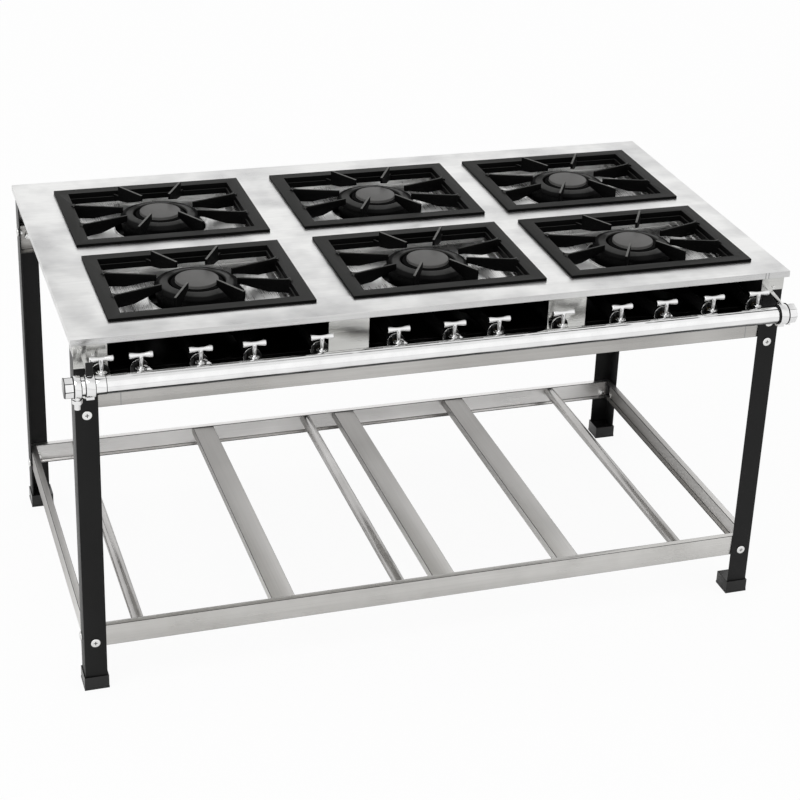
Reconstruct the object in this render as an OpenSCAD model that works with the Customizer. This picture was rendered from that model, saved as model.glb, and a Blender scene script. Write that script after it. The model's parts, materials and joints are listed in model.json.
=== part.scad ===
// Free-standing six-burner gas stove: a stainless worktop on four angle-iron legs,
// six lift-off cast grates over double burners, a gas manifold pipe with thirteen
// T-handle valves along the front, and a slatted lower shelf.
// The table is drawn about the middle of its worktop, then shifted so that the
// middle of the whole outline stands at the origin, on the floor.

/* [Worktop] */
// Width of the worktop
top_w = 1512; // [1460:1:1560]
// Depth of the worktop
top_d = 836; // [820:1:880]
// Height of the worktop above the floor
top_h = 800; // [780:1:860]
// Thickness of the worktop sheet
top_t = 2; // [1:0.5:3]
// Height of the folded edge of the worktop
lip_h = 14; // [12:1:16]
// Depth of the return fold under the edge
lip_return = 4; // [3:0.5:6]

/* [Layout] */
// Column positions of the burners, measured from the middle of the worktop
col_left = -467; // [-472:1:-460]
// Middle column of burners
col_middle = 22; // [16:1:28]
// Right column of burners
col_right = 490; // [484:1:496]
// Distance between the front and the rear row of burners
row_pitch = 380; // [376:1:388]
// Distance of the rows' middle line from the worktop's middle
row_shift = -3; // [-6:1:0]

/* [Grates] */
// Width of a grate
grate_w = 412; // [404:1:420]
// Depth of a grate
grate_d = 320; // [312:1:328]
// Width of the flat border at the left and right of a grate
border = 28; // [26:1:32]
// Width of the flat border at the front and back of a grate
border_end = 25; // [23:1:28]
// Thickness of the flat border
border_t = 6; // [5:0.5:8]
// Depth of the skirt below the border
skirt_h = 18; // [14:1:20]
// Thickness of the skirt
skirt_t = 5; // [4:0.5:6]
// Width of the ledge inside the skirt
ledge_w = 3; // [2:0.5:4]
// Height of the border's inner edge above the ledge
ledge_drop = 12; // [9:1:14]
// Clearance between the skirt and its cut-out in the worktop
seat_gap = 2; // [1:0.5:3]
// Thickness of a pan-support fin
fin_t = 4.5; // [4:0.5:6]
// Height of the front and back fins above the border
fin_rise = 15; // [12:1:18]
// Angle of the front and back fins from the line through the burner
fin_angle = 29.5; // [27:0.5:32]
// Radius of the circle of front and back fin tips
fin_tip_r = 61; // [58:1:66]
// Height of the tip of a front or back fin
fin_tip_h = 13; // [10:1:15]
// Clearance between a front or back fin's end and the border
fin_setback = 14; // [12:1:16]
// Depth of the foot of a front or back fin below the border's top
fin_foot_drop = 8; // [7:1:10]
// Depth of the root of a front or back fin below the border's top
fin_root_drop = 20; // [18:1:22]
// Height of the left and right fins above the border
side_fin_rise = 3; // [2:1:6]
// Angle of the left and right fins from the line through the burner
side_fin_angle = 17.8; // [16:0.2:20]
// Radius of the circle of side fin tips
side_tip_r = 81; // [78:1:88]
// Height of the tip of a side fin
side_tip_h = 13; // [11:1:14]
// Depth of the root of a side fin below the border's top
side_root_drop = 26; // [24:1:28]
// How far the horn at the root of a side fin reaches over the border
horn = 8; // [5:1:12]
// Height of that horn above the fin
horn_rise = 2.5; // [1:0.5:4]
// Radius of the fillets between a side fin and the skirt
flare_r = 12; // [8:1:14]

/* [Burners] */
// Outer radius of the burner ring
ring_r = 84; // [78:1:88]
// Inner radius of the burner ring
ring_in_r = 58; // [56:1:60]
// Outer radius of the inner cup
cup_r = 50; // [46:1:53]
// Radius of the central cap
cap_r = 44; // [38:1:45]
// Wall thickness of the burner castings
cast_t = 4; // [3:0.5:5]
// Height of the burner seat below the worktop's surface
burner_drop = 55; // [52:1:58]
// Height of the ring casting
ring_h = 43; // [38:1:45]
// Height of the cup casting
cup_h = 48; // [44:1:50]
// Thickness of the ring's lid at its outer edge
crown_edge = 5; // [3:0.5:6]
// Rise of the ring's lid towards its inner edge
crown_rise = 7; // [4:0.5:8]
// Thickness of the cap's dark step
step_t = 6; // [4:0.5:7]
// Thickness of the central cap's disc
cap_t = 6; // [4:0.5:8]
// Radius of the bosses on which the mixing tubes end
boss_r = 15; // [14:0.5:17]
// Height of those bosses
boss_h = 4; // [3:0.5:5]
// Width of the flat bars under the burners
bar_w = 25; // [20:1:30]
// Thickness of the flat bars
bar_t = 4; // [3:0.5:4]
// Distance of each bar from the middle of its burner
bar_offset = 40; // [38:1:44]

/* [Spill pans] */
// Depth of a spill pan's floor below the worktop's surface
pan_drop = 34; // [32:1:36]
// Width of a spill pan
pan_w = 390; // [386:1:396]
// Size of a spill pan from front to back
pan_d = 304; // [300:1:312]
// Radius of the hole round the burner
pan_hole_r = 98; // [94:1:102]
// Height of the rim round that hole
pan_rim_h = 3; // [2:0.5:4]
// Distance of the inner ribs from the middle of the pan
rib_inner = 160; // [154:1:164]
// Distance of the outer ribs from the middle of the pan
rib_outer = 180; // [174:1:184]
// Width and height of a rib
rib_size = 2.5; // [2:0.5:3]

/* [Mixing tubes] */
// Outer radius of a mixing tube
tube_r = 12.5; // [11:0.5:13]
// Inner radius of a mixing tube
tube_bore = 10; // [8:0.5:10.5]
// Extra radius of the drum at a bend of a mixing tube
knuckle = 0.8; // [0.5:0.1:1.2]
// Radius of an air shutter disc
shutter_r = 18; // [16:0.5:20]
// Thickness of an air shutter disc
shutter_t = 4; // [3:0.5:5]
// Distance of a burner's ring tube from the middle of the burner
ring_tube_r = 65; // [62:1:68]

/* [Manifold] */
// Outer radius of the manifold pipe
pipe_r = 18.5; // [17:0.5:18.5]
// Wall of the manifold pipe
pipe_wall = 3; // [2:0.5:4]
// Height of the pipe's axis below the worktop's surface
pipe_drop = 76.5; // [74:0.5:80]
// Distance of the pipe's axis in front of the valve axes
pipe_ahead = 31; // [31:1:34]
// Reach of the manifold to the left of the worktop's middle
manifold_left = 778; // [770:1:790]
// Reach of the manifold to the right of the worktop's middle
manifold_right = 748; // [746:1:756]
// Length of the end cap on the left
pipe_cap_l = 18; // [15:1:22]
// Length of the end fitting on the right
end_l = 17; // [15:1:17]
// Radius across the corners of the end caps
pipe_cap_r = 21; // [20.5:0.5:22]
// Length of the inlet tee's ring
tee_l = 12; // [10:1:14]
// Outer radius of the inlet tee's ring
tee_r = 22; // [21.5:0.5:23]
// Radius of the inlet nipple
nipple_r = 6; // [5:0.5:8]
// Length of the inlet nipple below its nut
nipple_l = 12; // [10:1:16]
// Radius of the inlet nut across its corners
inlet_nut_r = 10; // [8.5:0.5:11]
// Distance of the pipe clamps from the middle, on the left
clamp_left = 729; // [726:1:732]
// Distance of the pipe clamps from the middle, on the right
clamp_right = 720; // [716:1:721]
// Width of a pipe clamp
clamp_w = 17; // [14:1:18]
// Outer radius of a pipe clamp
clamp_r = 22; // [21.5:0.5:24]
// Thickness of the clamp's flat arm
arm_t = 4; // [3:0.5:5]
// Width of the clamp's flat arm
arm_w = 9; // [7:1:12]
// Climb of the arm from the clamp to the front sheet
arm_climb = 9; // [6:1:12]
// Length of the coupling sleeve beside the left clamp
sleeve_l = 20; // [16:1:24]
// Height of that sleeve above the pipe's surface
sleeve_t = 0.4; // [0.2:0.1:0.4]
// Width of the tab on the left clamp
tab_w = 14; // [12:1:15]
// Height of the tab on the left clamp
tab_h = 27; // [22:1:30]

/* [Valves] */
// Distance of the valve axes in front of the worktop's edge
valve_ahead = 14; // [13:0.5:18]
// Outer radius of a valve barrel
barrel_r = 11; // [10:0.5:12]
// Height of a valve barrel
barrel_h = 26; // [22:1:30]
// Radius of the turning plug
plug_r = 6; // [5:0.25:7]
// Running clearance round the plug
plug_fit = 0.1; // [0.02:0.01:0.1]
// Height of the handle's bar above the barrel
handle_rise = 28; // [24:1:30]
// Length of the handle's bar
bar_l = 46; // [44:1:50]
// Radius of the bar at its ends
bar_end_r = 5.8; // [4.8:0.2:6]
// Radius of the bar beside its hub
bar_waist_r = 3.8; // [3.4:0.2:4.4]
// Radius of the handle's neck at the barrel
neck_low_r = 2.8; // [2.4:0.2:3.4]
// Radius of the handle's neck at the bar
neck_top_r = 5.2; // [4.8:0.2:5.6]
// Radius of an injector
injector_r = 5; // [4:0.5:6]

/* [Front and firebox] */
// Thickness of the front sheet and of the other sheets
sheet_t = 2; // [1:0.5:2]
// Height of the front windows' top edge below the worktop's surface
window_top = 16; // [15:1:18]
// Left edge of the first window
win1_left = -685; // [-690:1:-680]
// Right edge of the first window
win1_right = -250; // [-254:1:-246]
// Left edge of the second window
win2_left = -167; // [-172:1:-160]
// Right edge of the second window
win2_right = 214; // [210:1:218]
// Left edge of the third window
win3_left = 297; // [292:1:302]
// Right edge of the third window
win3_right = 699; // [698:1:706]
// Height of the corner plates' lower edge below the worktop's surface
corner_drop = 67; // [60:1:70]
// Distance from the worktop's surface to the lower edge of the right corner plate
corner_drop_right = 46; // [44:1:50]
// Distance of a corner plate's screw from the window beside it
screw_out = 28; // [26:1:32]
// Distance of a corner plate's screw below the worktop's surface
screw_drop = 40; // [36:1:46]
// Height of the long upper rails
rail_h = 68; // [60:1:72]
// Height of the rails' top below the worktop's surface
rail_drop = 88; // [87:1:90]
// Depth of the rails' flanges
rail_flange = 20; // [16:1:24]
// Distance of the left firebox wall from the middle
wall_left = 690; // [690:1:694]
// Distance of the right firebox wall from the middle
wall_right = 704; // [702:1:708]
// Depth of a drip tray
tray_h = 15; // [10:1:20]
// Width of a drip tray's rim
tray_rim = 8; // [6:1:10]
// Gap between two neighbouring trays
tray_gap = 4; // [3:1:8]

/* [Legs and feet] */
// Inset of the legs from the worktop's sides
leg_inset = 6; // [4:1:10]
// Inset of the front legs from the worktop's front edge
leg_front_inset = 14; // [13:1:16]
// Inset of the rear legs from the worktop's rear edge
leg_rear_inset = 3; // [3:1:6]
// Width of each side of the leg's angle profile
leg_w = 45; // [40:1:50]
// Thickness of the leg profile
leg_t = 3; // [2:0.5:4]
// Height of the front legs' top below the worktop's surface
leg_top_drop = 43; // [40:1:46]
// Height of a plastic foot
foot_h = 30; // [24:1:36]
// Thickness of the foot under the leg
foot_sole = 5; // [4:1:8]
// How far a foot stands out round its leg
foot_wall = 2.5; // [2:0.5:3]
// Clearance between a leg and its foot
foot_gap = 0.2; // [0.1:0.1:0.4]
// Radius of a leg bolt's head
bolt_head_r = 9.5; // [8:0.5:10]
// Height of a leg bolt's head
bolt_head_h = 4; // [3:0.5:5]

/* [Shelf] */
// Height of the shelf's top edge above the floor
shelf_z = 148; // [140:1:160]
// Height of the shelf's rails
shelf_h = 48; // [42:1:52]
// Depth of the shelf rails' flanges
shelf_flange = 14; // [12:1:18]
// Width of a wide slat
slat_w = 50; // [44:1:56]
// Height of a wide slat
slat_h = 20; // [16:1:24]
// Radius of a tubular slat
slat_r = 12.5; // [11:0.5:14]
// Wall of a tubular slat
slat_wall = 1.5; // [1:0.5:2]

/* [Hidden] */
$fn = 48;

// Flat faces of curved parts on one body keep this much air between them
curve_gap = 0.1;

// Heights of the main levels
top_under = top_h - top_t;
border_z = top_h + border_t;
rail_top = top_h - rail_drop;
rail_low = rail_top - rail_h;
burner_z = top_h - burner_drop;
bar_z = burner_z - bar_t;
tube_z = bar_z - tube_r - 1.5;
pipe_z = top_h - pipe_drop;
barrel_top = pipe_z + 10.5;
window_z = top_h - window_top;
leg_front_top = top_h - leg_top_drop;
rear_leg_top = top_h - lip_h;
shelf_low = shelf_z - shelf_h;

// Planes and lines of the table, from the worktop's middle
front_edge = -top_d / 2;
rear_edge = top_d / 2;
leg_x = top_w / 2 - leg_inset;
leg_front = front_edge + leg_front_inset;
leg_rear = rear_edge - leg_rear_inset;
panel_front = leg_front - sheet_t;
panel_rear = min(leg_rear - leg_t, rear_edge - top_t - lip_return);
panel_x = min(leg_x, top_w / 2 - top_t - lip_return);
rail_front = leg_front + leg_t;
rail_rear = leg_rear - leg_t;
valve_y = front_edge - valve_ahead;
pipe_y = valve_y - pipe_ahead;
shutter_y = panel_front - 6.5 - shutter_t;

// The middle of the whole outline stands at the origin
frame_x = (manifold_left - max(manifold_right, top_w / 2)) / 2;
rear_reach = max(rear_edge, leg_rear + bolt_head_h);
frame_y = (clamp_r - pipe_y - rear_reach) / 2;

// Burner places, column by column
columns = [col_left, col_middle, col_right];
rows = [row_shift - row_pitch / 2, row_shift + row_pitch / 2];

// Each column has four valves, placed from its burners' middle: the outer two feed
// the rear burner, and the inner two feed the front one. One more valve is spare.
valve_steps = [[-159, -44, 61, 196], [-136, -19, 76, 215], [-124, -23, 85, 189]];
spare_x = -701;
valves = [spare_x, for (c = [0:2]) for (s = valve_steps[c]) columns[c] + s];

// Grate sizes that follow from its border
open_w = grate_w - 2 * border;
open_d = grate_d - 2 * border_end;
cut_w = open_w + 2 * skirt_t + 2 * seat_gap;
cut_d = open_d + 2 * skirt_t + 2 * seat_gap;

// Turns a table position into the object's own frame
module placed() {
    translate([frame_x, frame_y, 0]) children();
}

// A box between two corners
module box(low, high) {
    translate(low) cube(high - low);
}

// Six places over the burners
module at_burners() {
    for (x = columns) for (y = rows) translate([x, y, 0]) children();
}

// A cylinder along X from x0 to x1
module rod_x(x0, x1, r, sides = $fn) {
    translate([x0, 0, 0]) rotate([0, 90, 0]) cylinder(h = x1 - x0, r = r, $fn = sides);
}

// A cylinder along Y from y0 to y1
module rod_y(y0, y1, r, sides = $fn) {
    translate([0, y0, 0]) rotate([-90, 0, 0]) cylinder(h = y1 - y0, r = r, $fn = sides);
}

// A channel along X: web on the low-Y side, flanges towards +Y
module channel_x(x0, x1, y, z0, z1, flange) {
    box([x0, y, z0], [x1, y + sheet_t, z1]);
    box([x0, y, z0], [x1, y + flange, z0 + sheet_t]);
    box([x0, y, z1 - sheet_t], [x1, y + flange, z1]);
}

module top_plate() {
    color("lightgray") placed() {
        difference() {
            box([-top_w / 2, front_edge, top_h - lip_h], [top_w / 2, rear_edge, top_h]);
            box([top_t - top_w / 2, front_edge + top_t, top_h - lip_h + top_t],
                [top_w / 2 - top_t, rear_edge - top_t, top_under]);
            box([top_t + lip_return - top_w / 2, front_edge + top_t + lip_return, top_h - lip_h - 1],
                [top_w / 2 - top_t - lip_return, rear_edge - top_t - lip_return, top_under]);
            at_burners() box([-cut_w / 2, -cut_d / 2, top_under - 1], [cut_w / 2, cut_d / 2, top_h + 1]);
        }
    }
}

// Front sheet: corner plates over the legs' tops, two plates between the windows,
// and a fold at the top and at the foot of each middle plate
module front_panel() {
    windows = [[win1_left, win1_right], [win2_left, win2_right], [win3_left, win3_right]];
    fold = rail_flange - 4;
    color("silver") placed() {
        difference() {
            union() {
                box([-panel_x, panel_front, rail_top], [panel_x, leg_front, top_under]);
                box([-panel_x + leg_w, panel_front, top_under - sheet_t],
                    [panel_x - leg_w, leg_front + fold, top_under]);
                box([win1_right, panel_front, rail_top], [win2_left, leg_front + fold, rail_top + sheet_t]);
                box([win2_right, panel_front, rail_top], [win3_left, leg_front + fold, rail_top + sheet_t]);
            }
            for (w = windows) box([w[0], panel_front - 1, rail_top - 1], [w[1], leg_front + 1, window_z]);
            box([-panel_x - 1, panel_front - 1, rail_top - 1], [win1_left + 1, leg_front + 1, top_h - corner_drop]);
            box([win3_right - 1, panel_front - 1, rail_top - 1],
                [panel_x + 1, leg_front + 1, top_h - corner_drop_right]);
            for (x = valves) translate([x, 0, tube_z]) if (x > win2_right && x < win3_left)
                rod_y(panel_front - 1, leg_front + fold + 1, tube_r + knuckle + 3);
        }
        for (side = [-1, 1]) box([side > 0 ? panel_x - sheet_t : -panel_x, panel_front, leg_front_top],
            [side > 0 ? panel_x : sheet_t - panel_x, leg_front + leg_w, top_h - lip_h]);
    }
}

module rear_panel() {
    x = panel_x - leg_t;
    color("silver") placed() {
        box([-x, panel_rear - sheet_t, rail_top], [x, panel_rear, top_under]);
        box([leg_w - x, panel_rear - rail_flange, top_under - sheet_t], [x - leg_w, panel_rear, top_under]);
    }
}

// Walls of the firebox, from the front sheet to the rear panel
module side_walls() {
    y0 = rail_front + rail_flange;
    y1 = rail_rear - rail_flange;
    color("dimgray") placed() {
        box([-wall_left, y0, rail_top - tray_h], [sheet_t - wall_left, y1, top_under]);
        box([-wall_left, y0, top_under - sheet_t], [tray_rim - wall_left, y1, top_under]);
        box([wall_right - sheet_t, y0, rail_top - tray_h], [wall_right, y1, top_under]);
        box([wall_right - tray_rim, y0, top_under - sheet_t], [wall_right, y1, top_under]);
        for (x = [-wall_left, wall_right - sheet_t])
            box([x, leg_front, rail_top + sheet_t], [x + sheet_t, y0, top_under - sheet_t]);
    }
}

module front_rail() {
    color("silver") placed()
        channel_x(-leg_x + leg_t, leg_x - leg_t, rail_front, rail_low, rail_top, rail_flange);
}

module rear_rail() {
    color("silver") placed() mirror([0, 1, 0])
        channel_x(-leg_x + leg_t, leg_x - leg_t, -rail_rear, rail_low, rail_top, rail_flange);
}

// An angle profile with its corner outwards; sx and sy point to the outside
module leg(sx, sy, z_top) {
    y = sy < 0 ? -leg_front : leg_rear;
    color("black") placed() translate([sx * leg_x, sy * y, 0]) scale_to(sx, sy) {
        box([-leg_w, -leg_t, foot_sole], [0, 0, z_top]);
        box([-leg_t, -leg_w, foot_sole], [0, 0, z_top]);
    }
}

// Mirrors a shape drawn for the rear right corner to another corner
module scale_to(sx, sy) {
    mirror([sx < 0 ? 1 : 0, 0, 0]) mirror([0, sy < 0 ? 1 : 0, 0]) children();
}

module leg_front_left() leg(-1, -1, leg_front_top);
module leg_front_right() leg(1, -1, leg_front_top);
module leg_rear_left() leg(-1, 1, rear_leg_top);
module leg_rear_right() leg(1, 1, rear_leg_top);

// Square plastic boots, slotted for the angle profile
module feet() {
    slot = leg_t + foot_gap;
    color("black") placed() for (sx = [-1, 1]) for (sy = [-1, 1])
        translate([sx * leg_x, sy < 0 ? leg_front : leg_rear, 0]) scale_to(sx, sy) difference() {
            union() {
                box([-leg_w - foot_wall, -leg_w - foot_wall, 0], [foot_wall, foot_wall, foot_h]);
                box([-leg_w - foot_wall - 0.5, -leg_w - foot_wall - 0.5, 0],
                    [foot_wall + 0.5, foot_wall + 0.5, foot_sole]);
            }
            box([-leg_w - foot_gap, -slot, foot_sole], [foot_gap, foot_gap, foot_h + 1]);
            box([-slot, -leg_w - foot_gap, foot_sole], [foot_gap, foot_gap, foot_h + 1]);
        }
}

module shelf_front_rail() {
    color("silver") placed()
        channel_x(-leg_x + leg_t, leg_x - leg_t, rail_front, shelf_low, shelf_z, shelf_flange);
}

module shelf_rear_rail() {
    color("silver") placed() mirror([0, 1, 0])
        channel_x(-leg_x + leg_t, leg_x - leg_t, -rail_rear, shelf_low, shelf_z, shelf_flange);
}

module shelf_side_rails() {
    y0 = rail_front + shelf_flange;
    y1 = rail_rear - shelf_flange;
    color("silver") placed() for (side = [-1, 1]) rotate([0, 0, side * 90]) translate([0, -leg_x + leg_t, 0])
        channel_x(side > 0 ? y0 : -y1, side > 0 ? y1 : -y0, 0, shelf_low, shelf_z, shelf_flange);
}

// Slats hang under the rails' top flanges
wide_slats = [-331, 23, 311];
tube_slats = [-635, -73, 577];
slat_y0 = rail_front + sheet_t;
slat_y1 = rail_rear - sheet_t;
slat_top = shelf_z - sheet_t;

module shelf_wide_slats() {
    color("silver") placed() for (x = wide_slats) difference() {
        box([x - slat_w / 2, slat_y0, slat_top - slat_h], [x + slat_w / 2, slat_y1, slat_top]);
        box([x - slat_w / 2 + sheet_t, slat_y0 - 1, slat_top - slat_h - 1],
            [x + slat_w / 2 - sheet_t, slat_y1 + 1, slat_top - sheet_t]);
    }
}

module shelf_tube_slats() {
    z = slat_top - slat_r - curve_gap;
    color("silver") placed() for (x = tube_slats) translate([x, 0, z]) difference() {
        rod_y(slat_y0, slat_y1, slat_r);
        rod_y(slat_y0 - 1, slat_y1 + 1, slat_r - slat_wall);
    }
}

// A tray hangs by its rim on the flanges of the long rails
module drip_tray(x0, x1) {
    y0 = rail_front + rail_flange + 2;
    y1 = rail_rear - rail_flange - 2;
    color("gainsboro") placed() difference() {
        union() {
            box([x0, y0, rail_top - tray_h], [x1, y1, rail_top]);
            box([x0, y0 - tray_rim, rail_top], [x1, y1 + tray_rim, rail_top + 1]);
        }
        box([x0 + sheet_t, y0 + sheet_t, rail_top - tray_h + sheet_t],
            [x1 - sheet_t, y1 - sheet_t, rail_top + 2]);
    }
}

tray_edge_1 = (win1_right + win2_left) / 2;
tray_edge_2 = (win2_right + win3_left) / 2;
tray_left = sheet_t + tray_gap / 2 - wall_left;
tray_right = wall_right - sheet_t - tray_gap / 2;

module drip_tray_left() drip_tray(tray_left, tray_edge_1 - tray_gap / 2);
module drip_tray_middle() drip_tray(tray_edge_1 + tray_gap / 2, tray_edge_2 - tray_gap / 2);
module drip_tray_right() drip_tray(tray_edge_2 + tray_gap / 2, tray_right);

// Two pans of one column, hung under the worktop's cut-outs: each has a rimmed hole
// for its burner and two ribs along either side
module spill_pans(c) {
    floor_z = top_h - pan_drop;
    color("silver") placed() for (y = rows) translate([columns[c], y, 0]) difference() {
        union() {
            difference() {
                box([-pan_w / 2, -pan_d / 2, floor_z - sheet_t], [pan_w / 2, pan_d / 2, top_under]);
                box([-pan_w / 2 + sheet_t, -pan_d / 2 + sheet_t, floor_z],
                    [pan_w / 2 - sheet_t, pan_d / 2 - sheet_t, top_under + 1]);
            }
            translate([0, 0, floor_z - 1]) cylinder(h = pan_rim_h + 1, r = pan_hole_r + sheet_t);
            for (side = [-1, 1]) for (x = [rib_inner, rib_outer])
                translate([side * x, 0, 0]) box([-rib_size / 2, -pan_d / 2 + 1, floor_z - 1],
                    [rib_size / 2, pan_d / 2 - 1, floor_z + rib_size]);
        }
        translate([0, 0, floor_z - sheet_t - 1]) cylinder(h = pan_rim_h + sheet_t + 2, r = pan_hole_r);
    }
}

// Flat bars from wall to wall, two under each row of burners
module burner_bars() {
    color("dimgray") placed() for (y = rows) for (s = [-1, 1]) translate([0, y + s * bar_offset, 0])
        box([sheet_t - wall_left, -bar_w / 2, bar_z], [wall_right - sheet_t, bar_w / 2, burner_z]);
}

// One casting: a hollow ring, a hollow cup inside it and three webs between them
module burner_body() {
    top = burner_z + ring_h;
    difference() {
        union() {
            translate([0, 0, burner_z]) rotate_extrude() polygon([
                [ring_in_r, 0], [ring_r - 14, 0], [ring_r - 4, 12], [ring_r, 29], [ring_r, ring_h],
                [ring_r - cast_t, ring_h], [ring_r - cast_t, 30], [ring_r - 4 - cast_t, 14],
                [ring_r - 14 - cast_t / 2, cast_t], [ring_in_r + cast_t, cast_t],
                [ring_in_r + cast_t, ring_h], [ring_in_r, ring_h]
            ]);
            translate([0, 0, burner_z]) rotate_extrude() polygon([
                [0, 0], [cup_r - 20, 0], [cup_r - 4, 13], [cup_r, 25], [cup_r, cup_h],
                [cup_r - cast_t, cup_h], [cup_r - cast_t, 26], [cup_r - 4 - cast_t, 15],
                [cup_r - 20 - cast_t / 2, cast_t], [0, cast_t]
            ]);
            for (a = [30, 150, 270]) rotate([0, 0, a])
                box([cup_r - 2, -4, burner_z + 14], [ring_in_r + 2, 4, burner_z + 30]);
            for (p = risers) translate([p[0], p[1], burner_z - boss_h])
                cylinder(h = boss_h + cast_t, r = boss_r);
        }
        for (p = risers) translate([p[0], p[1], burner_z - boss_h - 1])
            cylinder(h = boss_h + cast_t + 2, r = tube_bore - 2);
    }
}

// Where the mixing tubes rise into a burner: into its ring, then into its cup
risers = [[-ring_tube_r, 0], [0, 0]];

module burner_bodies() {
    color("black") placed() at_burners() burner_body();
}

// Sloping lid of the ring
module burner_crowns() {
    z = burner_z + ring_h;
    color("dimgray") placed() at_burners() translate([0, 0, z]) rotate_extrude() polygon([
        [ring_in_r + 0.5, 0], [ring_r + 2, 0], [ring_r + 2, crown_edge - 1], [ring_r + 1, crown_edge],
        [ring_in_r + 4, crown_edge + crown_rise], [ring_in_r + 0.5, crown_edge + crown_rise]
    ]);
}

// Dark step and grey disc over the cup
module burner_caps() {
    z = burner_z + cup_h;
    color("gray") placed() at_burners() translate([0, 0, z]) {
        rotate_extrude() polygon([
            [0, 0], [cup_r + 3, 0], [cup_r + 3, step_t - 2], [cup_r + 1, step_t], [cap_r, step_t],
            [cap_r, step_t + cap_t - 1], [cap_r - 1, step_t + cap_t], [0, step_t + cap_t]
        ]);
    }
}

// Length cut off at each tube's mouth
mouth_run = 4;

// Level rods along a path, with an upright drum at each bend; the last drum rises
// to the burner, and more is how far the path runs past both of its ends, beyond
// the run at its mouth that is cut off square behind the shutter
module tube_path(points, r, more) {
    last = len(points) - 1;
    for (i = [0:last - 1]) {
        d = points[i + 1] - points[i];
        start = i == 0 ? mouth_run + more : 0;
        translate([points[i][0], points[i][1], tube_z]) rotate([0, 0, atan2(d[1], d[0])])
            rod_x(-start, norm(d), r);
    }
    for (i = [1:last]) translate([points[i][0], points[i][1], tube_z - r - knuckle])
        cylinder(h = i == last ? burner_z - boss_h - tube_z + r + knuckle + more : 2 * (r + knuckle),
            r = r + knuckle);
}

module mixing_tube(points) {
    mouth = points[0];
    difference() {
        tube_path(points, tube_r, 0);
        tube_path(points, tube_bore, 2);
        box([mouth[0] - 2 * tube_r, shutter_y - mouth_run, tube_z - 2 * tube_r],
            [mouth[0] + 2 * tube_r, mouth[1], tube_z + 2 * tube_r]);
    }
}

// Routes of the four tubes of one column, all at one height
front_end = rows[0];
rear_end = rows[1];
tube_steps = [
    [[-134, rear_end - 70], [-ring_tube_r, rear_end]],
    [[-ring_tube_r, front_end]],
    [[60, front_end - 80], [0, front_end]],
    [[175, rear_end - 110], [0, rear_end]]
];
function tube_points(c, k) = concat([[columns[c] + valve_steps[c][k], shutter_y + shutter_t]],
    [for (p = tube_steps[k]) [columns[c] + p[0], p[1]]]);

module mixing_tubes() {
    color("black") placed() for (c = [0:2]) for (k = [0:3]) mixing_tube(tube_points(c, k));
}

// Drilled discs in front of the tubes' mouths
module air_shutters() {
    color("black") placed() for (x = valves) translate([x, 0, tube_z]) difference() {
        rod_y(shutter_y, shutter_y + shutter_t, shutter_r);
        rod_y(shutter_y - 1, shutter_y + shutter_t + 1, injector_r - 2);
    }
}

pipe_left = -manifold_left + pipe_cap_l;
pipe_right = manifold_right - end_l;
sleeve_x = clamp_w / 2 + 1 - clamp_left;
seat_y = valve_y - barrel_r - 1;
valve_in_z = pipe_z - 4;

module manifold_pipe() {
    color("white") placed() difference() {
        union() {
            translate([0, pipe_y, pipe_z]) rod_x(pipe_left, pipe_right, pipe_r);
            translate([0, pipe_y, pipe_z]) rod_x(sleeve_x, sleeve_x + sleeve_l, pipe_r + sleeve_t);
            for (x = valves) translate([x, 0, valve_in_z]) rod_y(pipe_y, seat_y, 8);
        }
        translate([0, pipe_y, pipe_z]) rod_x(pipe_left - 1, pipe_right + 1, pipe_r - pipe_wall);
        for (x = valves) translate([x, 0, valve_in_z]) rod_y(pipe_y, seat_y + 1, 4);
    }
}

module pipe_cap() {
    color("white") placed() translate([0, pipe_y, pipe_z])
        rod_x(-manifold_left, pipe_left, pipe_cap_r, 8);
}

// Hexagonal end piece with a drain stub below it
module pipe_end_fitting() {
    color("white") placed() translate([0, pipe_y, pipe_z]) {
        rod_x(pipe_right, manifold_right, pipe_cap_r, 8);
        translate([manifold_right - end_l / 2, 0, -pipe_cap_r - 4]) cylinder(h = 8, r = 5);
    }
}

// Ring on the pipe beside the cap, with the gas inlet hanging under it
module inlet_tee() {
    x0 = pipe_left + 1;
    mid = x0 + tee_l / 2;
    color("white") placed() translate([0, pipe_y, pipe_z]) difference() {
        union() {
            rod_x(x0, x0 + tee_l, tee_r);
            translate([mid, 0, -tee_r - 4]) cylinder(h = 8, r = nipple_r);
            translate([mid, 0, -tee_r - 12]) cylinder(h = 8, r = inlet_nut_r, $fn = 6);
            translate([mid, 0, -tee_r - 12 - nipple_l]) cylinder(h = nipple_l, r = nipple_r);
        }
        rod_x(x0 - 1, x0 + tee_l + 1, pipe_r + curve_gap);
        translate([mid, 0, -tee_r - 13 - nipple_l]) cylinder(h = nipple_l + tee_r, r = 3.5);
    }
}

// Split collars round the pipe, each with a flat arm that climbs to the front sheet
module pipe_clamps() {
    arm_reach = panel_front - pipe_y;
    color("white") placed() for (x = [-clamp_left, clamp_right]) translate([x - clamp_w / 2, 0, 0]) {
        translate([0, pipe_y, pipe_z]) difference() {
            union() {
                rod_x(0, clamp_w, clamp_r);
                translate([1, -6, -clamp_r - 5]) cube([clamp_w - 2, 12, 8]);
                translate([(clamp_w - arm_w) / 2, 0, 0]) rotate([90, 0, 90]) linear_extrude(arm_w) polygon([
                    [-arm_t, clamp_r - arm_t], [0, clamp_r - arm_t], [arm_reach, clamp_r - arm_t + arm_climb],
                    [arm_reach, clamp_r + arm_climb], [0, clamp_r], [-arm_t, clamp_r]
                ]);
            }
            rod_x(-1, clamp_w + 1, pipe_r + curve_gap);
        }
    }
}

// Upright tab on the left clamp
module pipe_tab() {
    color("black") placed() translate([-clamp_left, pipe_y, pipe_z + clamp_r])
        box([-tab_w / 2, -arm_t, 0], [tab_w / 2, 0, tab_h]);
}

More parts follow.
